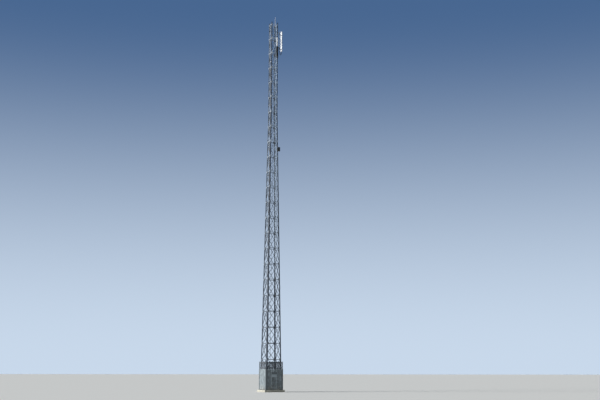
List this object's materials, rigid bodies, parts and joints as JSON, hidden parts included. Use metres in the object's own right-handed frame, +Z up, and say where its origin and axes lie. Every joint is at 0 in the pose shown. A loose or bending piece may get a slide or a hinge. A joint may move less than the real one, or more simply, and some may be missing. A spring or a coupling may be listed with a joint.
{
  "type": "lattice cell tower",
  "caption": "Tall square lattice mast of steel angles with sheet-clad foot, spiked guard rings, ladder, feeder cables, panel antenna and radio units.",
  "frame": {"origin": "centre of the plinth's underside, on the ground", "axes": "+Z up the tower, front face towards -Y, antenna on the +X side"},
  "size_m": [2, 2, 37.05],
  "materials": {
    "concrete": "rough weathered concrete",
    "zinc": "weathered hot-dip galvanised steel",
    "dull_zinc": "dull galvanised steel",
    "bright_zinc": "bright galvanised wire and tube",
    "sheet": "blue-grey coated sheet steel",
    "cable_jacket": "black cable jacket",
    "white_shell": "white moulded radome",
    "pale_shell": "pale grey paint",
    "dark_paint": "dark grey paint"
  },
  "bodies": {
    "root": {"plinth": "concrete", "base_plates": "dull_zinc", "lower_leg_front_right": "zinc", "lower_leg_back_right": "zinc", "lower_leg_back_left": "zinc", "lower_leg_front_left": "zinc", "upper_leg_front_right": "zinc", "upper_leg_back_right": "zinc", "upper_leg_back_left": "zinc", "upper_leg_front_left": "zinc", "lattice_front_1": "zinc", "lattice_front_2": "zinc", "lattice_front_3": "zinc", "lattice_front_4": "zinc", "lattice_right_1": "zinc", "lattice_right_2": "zinc", "lattice_right_3": "zinc", "lattice_right_4": "zinc", "lattice_back_1": "zinc", "lattice_back_2": "zinc", "lattice_back_3": "zinc", "lattice_back_4": "zinc", "lattice_left_1": "zinc", "lattice_left_2": "zinc", "lattice_left_3": "zinc", "lattice_left_4": "zinc", "cladding_front": "sheet", "cladding_right": "sheet", "cladding_back": "sheet", "cladding_left": "sheet", "cladding_posts": "dull_zinc", "guard_rings": "bright_zinc", "ladder_lower": "dull_zinc", "ladder_upper": "dull_zinc", "feeder_cables": "cable_jacket", "cable_hangers": "dull_zinc", "antenna": "white_shell", "antenna_pipe": "zinc", "pipe_arms": "zinc", "antenna_clamps": "dull_zinc", "equipment_rail": "zinc", "filter_unit": "pale_shell", "radio_units": "dark_paint", "link_box": "dark_paint", "lightning_rod": "bright_zinc"}
  },
  "joints": []
}
